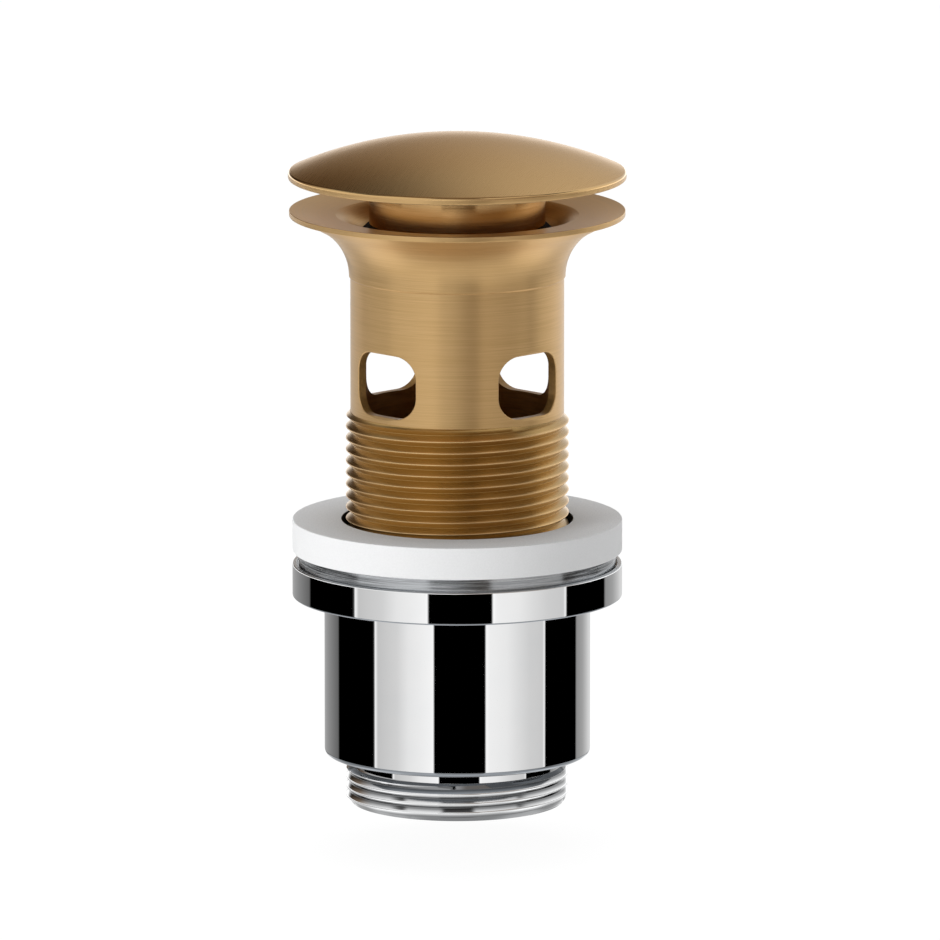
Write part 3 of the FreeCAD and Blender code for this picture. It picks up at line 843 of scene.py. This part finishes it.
def make_tailpiece():
    body_bottom = SPIGOT_LENGTH
    neck_bottom = SPIGOT_LENGTH - SPIGOT_NECK_LENGTH
    shoulder = body_bottom + TAIL_FLOOR
    flange_bottom = TAIL_TOP - TAIL_FLANGE_HEIGHT
    recess_floor = TAIL_TOP - RECESS_DEPTH

    corners = [(OUTLET_R, CORE_INSET, 0.0), (THREAD_CORE_R, CORE_INSET, 0.0)]
    corners += [(THREAD_CORE_R, neck_bottom, 0.0), (SPIGOT_NECK_R, neck_bottom, 0.0)]
    corners += [(SPIGOT_NECK_R, body_bottom, SPIGOT_NECK_ROUND)]
    corners += [(TAIL_R, body_bottom, TAIL_LOW_ROUND), (TAIL_R, flange_bottom, TAIL_EDGE_ROUND)]
    corners += [(TAIL_FLANGE_R, flange_bottom, TAIL_FLANGE_LOW_ROUND)]
    corners += [(TAIL_FLANGE_R, TAIL_TOP, TAIL_EDGE_ROUND)]
    corners += [(RECESS_R, TAIL_TOP, TAIL_EDGE_ROUND), (RECESS_R, recess_floor, 0.0)]
    corners += [(TAIL_BORE_R + TAIL_BORE_BEVEL, recess_floor, 0.0)]
    corners += [(TAIL_BORE_R, recess_floor - TAIL_BORE_BEVEL, 0.0)]
    corners += [(TAIL_BORE_R, shoulder, 0.0), (OUTLET_R, shoulder, OUTLET_ROUND)]
    tail = turned("tailpiece_skin", corners)
    wear(tail, "tail", "chrome", CHROME, SLIP_STEEL, CHROME_UNDERSIDE_PAINTED_REFLECTION, replaces="tailpiece")
    paint(tail, SLIP_STEEL, lambda centre, normal: normal.z > 0.3 and centre.z > recess_floor - PAINT_MARGIN)
    # Faces that look down get the dark grey plate as a painted reflection
    paint(tail, CHROME_UNDERSIDE_PAINTED_REFLECTION, lambda centre, normal: normal.z < -0.1)
    section = thread_section(SPIGOT_PITCH, SPIGOT_FLANK, SPIGOT_CREST_ROUND)
    thread = threaded_ring("tailpiece_spigot_thread", section, SPIGOT_PITCH, 0.0, neck_bottom, SPIGOT_NECK_R,
                           SPIGOT_RUNOUT)
    wear(thread, "tail", "chrome", CHROME_THREAD, replaces="tailpiece")


def finish_cartridge():
    """The cartridge and the small turned parts keep their CAD shapes and get real finishes."""
    finishes = {
        BRASS: ("seal_retainer", "cap_lock_nut", "plunger", "gland", "cartridge_barrel", "track_sleeve",
                "ball_retainer", "cartridge_base", "stud_nut"),
        STEEL: ("track_balls", "spring_washer", "return_spring", "stud_washer"),
        RUBBER: ("plug_seal", "gland_seal"),
    }
    for material, names in finishes.items():
        for name in names:
            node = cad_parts[name]
            node.data.materials.clear()
            node.data.materials.append(material)


make_waste_body()
make_cap()
make_washers()
make_tailpiece()
finish_cartridge()


# Studio

# Light round the horizon, as (degrees, brightness). 0 is towards the camera and 90 is to its right.
# FLAGS are the white panels and black flags that the polished plate mirrors. The rest is for the bronze
# and for the threads.
FLAGS = (
    (-180, 0.50), (-160, 0.33), (-135, 0.18), (-127, 0.13), (-125.5, 0.0), (-77.4, 0.0),
    (-76.2, 1.0), (-73.4, 0.56), (-54, 0.66), (-43, 0.82), (-32, 0.88), (-22.5, 0.94), (-21, 1.0),
    (-19.8, 0.0), (24, 0.0), (25.2, 1.0), (27.5, 0.90), (44, 0.84), (54, 0.74), (66, 0.64),
    (80, 0.60), (81.5, 1.0), (82.8, 0.0), (125.5, 0.0), (127, 0.27), (140, 0.36), (160, 0.66),
    (180, 0.72),
)
UNDER_LIGHT = ((-180, 0.88), (180, 0.88))
LOW_LIGHT = (
    (-180, 0.45), (-172, 0.75), (-155, 1.3), (-110, 1.4), (-75, 1.05), (-40, 1.08), (-10, 1.22),
    (20, 1.12), (70, 0.86), (92, 0.95), (115, 1.5), (155, 1.35), (172, 0.75), (180, 0.45),
)
TUBE_LIGHT = (
    (-180, 1.85), (-130, 1.65), (-122, 1.45), (-105, 1.30), (-80, 1.20), (-75, 0.97), (-40, 0.95),
    (-21, 1.05), (-18, 1.55), (-6, 1.45), (2, 1.05), (14, 0.50), (23, 0.38), (27, 0.20), (40, 0.08),
    (66, 0.12), (84, 0.42), (105, 1.65), (126, 1.9), (130, 1.75), (180, 1.85),
)
DOME_LIGHT = (
    (-180, 0.50), (-166, 0.11), (-150, 0.02), (-130, 0.25), (-112, 0.75), (-88, 0.95), (-40, 0.95),
    (-10, 0.86), (12, 0.50), (60, 0.46), (82, 0.78), (95, 0.90), (125, 1.0), (150, 0.84), (170, 0.70),
    (180, 0.50),
)
SHOULDER_LIGHT = (
    (-180, 0.50), (-166, 0.11), (-150, 0.02), (-118, 0.50), (-112, 0.12), (-74, 0.12), (-68, 0.95),
    (-26, 0.90), (-20, 0.08), (19, 0.08), (25, 0.95), (76, 0.85), (82, 0.12), (118, 0.12), (125, 1.0),
    (150, 0.84), (170, 0.70), (180, 0.50),
)
TOP_LIGHT = ((-180, 0.26), (180, 0.26))

# A mirrored direction's height, from -1 straight down to 1 straight up, over which each light begins.
# Under faces, necks and fillets see LOW_LIGHT, upright walls TUBE_LIGHT, the dome DOME_LIGHT, and the
# flanks of the spigot's thread SHOULDER_LIGHT.
UNDER_TO_LOW = (-0.96, -0.86)
LOW_TO_TUBE = (-0.45, -0.30)
TUBE_TO_DOME = (-0.02, 0.16)
DOME_TO_SHOULDER = (0.62, 0.70)
SHOULDER_TO_TOP = (0.82, 0.95)

# The flags fill a narrow band of heights. Polished upright walls mirror it sharply and brushed ones blur it
# away. Below the band the flags are faint, for a camera that looks down more steeply.
BAND_BOTTOM = (-0.30, -0.288)
BAND_TOP = (-0.12, -0.105)
FAINT_FLAGS_BOTTOM = (-0.72, -0.55)
FAINT_FLAGS_SHARE = 0.55

# A dim light for bronze is warmer than a bright one
WARM_DARK = (1.0, 0.60, 0.28)
WARM_BELOW = 0.75
WARM_SPAN = 0.7
WARM_CURVE = 1.5

MATT_LIGHT = 0.38   # the world's even light on matt surfaces

# The floor is nearly all glow to the camera, so that it is as white as the background.
# It lies lower than the tailpiece comes when it is unscrewed.
FLOOR_DROP = 8.5 * MM
FLOOR_HALF = 4.0
FLOOR_COLOUR = (0.95, 0.95, 0.95, 1.0)
FLOOR_ROUGHNESS = 0.9
FLOOR_GLOW = 1.05
FLOOR_GLOW_SHARE = 0.9

# Camera, fitted to the photograph of 940 by 940 pixels
IMAGE_SIZE = 940
AXIS_PIXEL_X = 457.3
FOCAL_PIXELS = 13843.0
CAMERA_DISTANCE = 2.6
CAMERA_ELEVATION = math.radians(10.51)
AIM_HEIGHT = 63.22 * MM
SENSOR_WIDTH = 36.0


def warmed(value):
    """A grey light's colour, the warmer the dimmer it is."""
    share = min(1.0, max(0.0, (WARM_BELOW - value) / WARM_SPAN)) ** WARM_CURVE
    return [value * (1 + share * (warm - 1)) for warm in WARM_DARK]


def grey(value):
    return [value] * 3


class Studio(Nodes):
    """The world's node tree."""

    def __init__(self, world):
        super().__init__(world.node_tree)
        self.tree.nodes.clear()
        direction = self.node("ShaderNodeTexCoord").outputs["Generated"]
        x, y, self.height = self.split(direction)
        turn = self.calculate("ARCTAN2", x, self.calculate("MULTIPLY", y, -1.0))
        self.angle = self.calculate("ADD", self.calculate("MULTIPLY", turn, 1 / (2 * math.pi)), 0.5)

    def light_round(self, stops, tint=warmed):
        """The colour of one light all round the horizon."""
        return self.colours(self.angle, [((degrees + 180) / 360, tint(value)) for degrees, value in stops])

    def above(self, begin, end):
        """0 below a range of heights and 1 above it, with a soft step between."""
        return self.rescale(self.height, begin, end, kind="SMOOTHSTEP")

    def bronze_light(self):
        """The lights for bronze and threads, each going over into the next one above it."""
        light = self.light_round(UNDER_LIGHT)
        light = self.mix(self.above(*UNDER_TO_LOW), light, self.light_round(LOW_LIGHT))
        light = self.mix(self.above(*LOW_TO_TUBE), light, self.light_round(TUBE_LIGHT))
        light = self.mix(self.above(*TUBE_TO_DOME), light, self.light_round(DOME_LIGHT))
        light = self.mix(self.above(*DOME_TO_SHOULDER), light, self.light_round(SHOULDER_LIGHT, grey))
        return self.mix(self.above(*SHOULDER_TO_TOP), light, self.light_round(TOP_LIGHT))

    def mirrored(self):
        """The bronze's light with the plate's flags laid over it."""
        flags = self.light_round(FLAGS, grey)
        past_bottom = self.above(*BAND_BOTTOM)
        below_bottom = self.calculate("SUBTRACT", 1.0, past_bottom)
        below_top = self.calculate("SUBTRACT", 1.0, self.above(*BAND_TOP))
        faint = self.calculate("MULTIPLY", self.above(*FAINT_FLAGS_BOTTOM), FAINT_FLAGS_SHARE)
        light = self.mix(self.calculate("MULTIPLY", faint, below_bottom), self.bronze_light(), flags)
        return self.mix(self.calculate("MULTIPLY", past_bottom, below_top), light, flags)

    def background(self, colour, strength=1.0):
        made = self.node("ShaderNodeBackground")
        self.fill(made, Color=colour, Strength=strength)
        return made.outputs[0]


def make_world():
    """White to the camera, even light for matt surfaces, and panels and flags for what metal mirrors."""
    world = bpy.data.worlds.new("studio")
    bpy.context.scene.world = world
    world.use_nodes = True
    studio = Studio(world)
    white = (1.0, 1.0, 1.0, 1.0)
    ray = studio.node("ShaderNodeLightPath").outputs
    seen = studio.calculate("MAXIMUM", ray["Is Camera Ray"], ray["Is Transmission Ray"])
    unseen = studio.mix_shaders(ray["Is Glossy Ray"], studio.background(white, MATT_LIGHT),
                                studio.background(studio.mirrored()))
    out = studio.node("ShaderNodeOutputWorld")
    studio.fill(out, Surface=studio.mix_shaders(seen, unseen, studio.background(white)))


def floor_material():
    finish = Finish("floor_pale")
    finish.set(Base_Color=FLOOR_COLOUR, Roughness=FLOOR_ROUGHNESS, Specular_IOR_Level=0.0)
    glow = finish.node("ShaderNodeEmission")
    finish.fill(glow, Strength=FLOOR_GLOW)
    ray = finish.node("ShaderNodeLightPath").outputs
    share = finish.calculate("MULTIPLY", ray["Is Camera Ray"], FLOOR_GLOW_SHARE)
    blend = finish.mix_shaders(share, finish.surface.outputs[0], glow.outputs[0])
    finish.fill(finish.tree.nodes["Material Output"], Surface=blend)
    return finish.material


def make_floor():
    mesh = bpy.data.meshes.new("floor")
    corners = [(-FLOOR_HALF, -FLOOR_HALF, 0), (FLOOR_HALF, -FLOOR_HALF, 0),
               (FLOOR_HALF, FLOOR_HALF, 0), (-FLOOR_HALF, FLOOR_HALF, 0)]
    mesh.from_pydata(corners, [], [(0, 1, 2, 3)])
    mesh.materials.append(floor_material())
    floor = bpy.data.objects.new("floor", mesh)
    floor.location.z = -FLOOR_DROP
    floor.visible_glossy = False
    bpy.context.collection.objects.link(floor)


def make_lamp(name, place, size, power):
    """A round soft lamp that looks at the middle of the part and isn't mirrored."""
    data = bpy.data.lights.new(name, "AREA")
    data.shape = "DISK"
    data.size = size
    data.energy = power
    lamp = bpy.data.objects.new(name, data)
    lamp.location = place
    aim = Vector((0, 0, AIM_HEIGHT)) - Vector(place)
    lamp.rotation_mode = "QUATERNION"
    lamp.rotation_quaternion = aim.to_track_quat("-Z", "Y")
    lamp.visible_glossy = False
    bpy.context.collection.objects.link(lamp)


def make_camera():
    data = bpy.data.cameras.new("camera")
    data.sensor_width = SENSOR_WIDTH
    data.lens = FOCAL_PIXELS * SENSOR_WIDTH / IMAGE_SIZE
    data.clip_start = 0.1
    data.clip_end = 50.0
    camera = bpy.data.objects.new("camera", data)
    aside = (IMAGE_SIZE / 2 - AXIS_PIXEL_X) * CAMERA_DISTANCE / FOCAL_PIXELS
    back = Vector((0, -math.cos(CAMERA_ELEVATION), math.sin(CAMERA_ELEVATION)))
    camera.location = Vector((aside, 0, AIM_HEIGHT)) + back * CAMERA_DISTANCE
    camera.rotation_mode = "QUATERNION"
    camera.rotation_quaternion = (-back).to_track_quat("-Z", "Y")
    bpy.context.collection.objects.link(camera)
    bpy.context.scene.camera = camera


make_world()
make_floor()
make_lamp("key", place=(-1.52, -1.2, 0.35), size=0.9, power=22.5)
make_lamp("fill", place=(1.3, -1.3, 0.3), size=0.9, power=1.5)
make_lamp("top", place=(0.0, 0.2, 1.9), size=1.2, power=16.5)
make_camera()
bpy.context.scene.view_settings.view_transform = "Standard"
